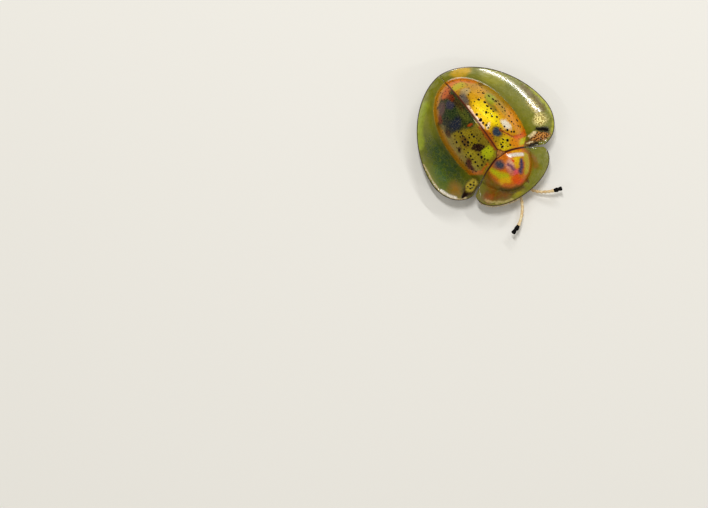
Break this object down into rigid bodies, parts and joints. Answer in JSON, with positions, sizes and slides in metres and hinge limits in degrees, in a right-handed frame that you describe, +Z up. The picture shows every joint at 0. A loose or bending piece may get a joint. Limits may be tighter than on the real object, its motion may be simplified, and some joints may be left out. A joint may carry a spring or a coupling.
{
  "type": "tortoise beetle",
  "caption": "Life-size tortoise beetle: a gold dome of wing cases in a clear flat skirt, a rounded neck shield, short feelers, and feet on the floor.",
  "frame": {"origin": "on the floor, under the middle of the box round the whole animal", "axes": "+Z up from the floor, -Y the way the head faces, +X the animal's own left side"},
  "size_m": [0.013, 0.0158, 0.0054],
  "materials": {
    "gold_wing_case": "clear shell over a gold sheen",
    "green_wing_case": "clear shell over an olive and dark green sheen",
    "amber_shield": "clear shell over an orange sheen",
    "brown_plate": "satin",
    "dark_belly": "satin",
    "black_eye": "gloss",
    "straw_limb": "satin"
  },
  "bodies": {
    "root": {"elytron_left": "gold_wing_case", "elytron_right": "green_wing_case", "pronotum": "amber_shield", "scutellum": "brown_plate", "head": "brown_plate", "prothorax": "dark_belly", "thorax": "dark_belly", "abdomen": "dark_belly", "eye_left": "black_eye", "eye_right": "black_eye", "antenna_left": "straw_limb", "antenna_right": "straw_limb", "leg_front_left": "straw_limb", "leg_front_right": "straw_limb", "leg_middle_left": "straw_limb", "leg_middle_right": "straw_limb", "leg_hind_left": "straw_limb", "leg_hind_right": "straw_limb"}
  },
  "joints": []
}
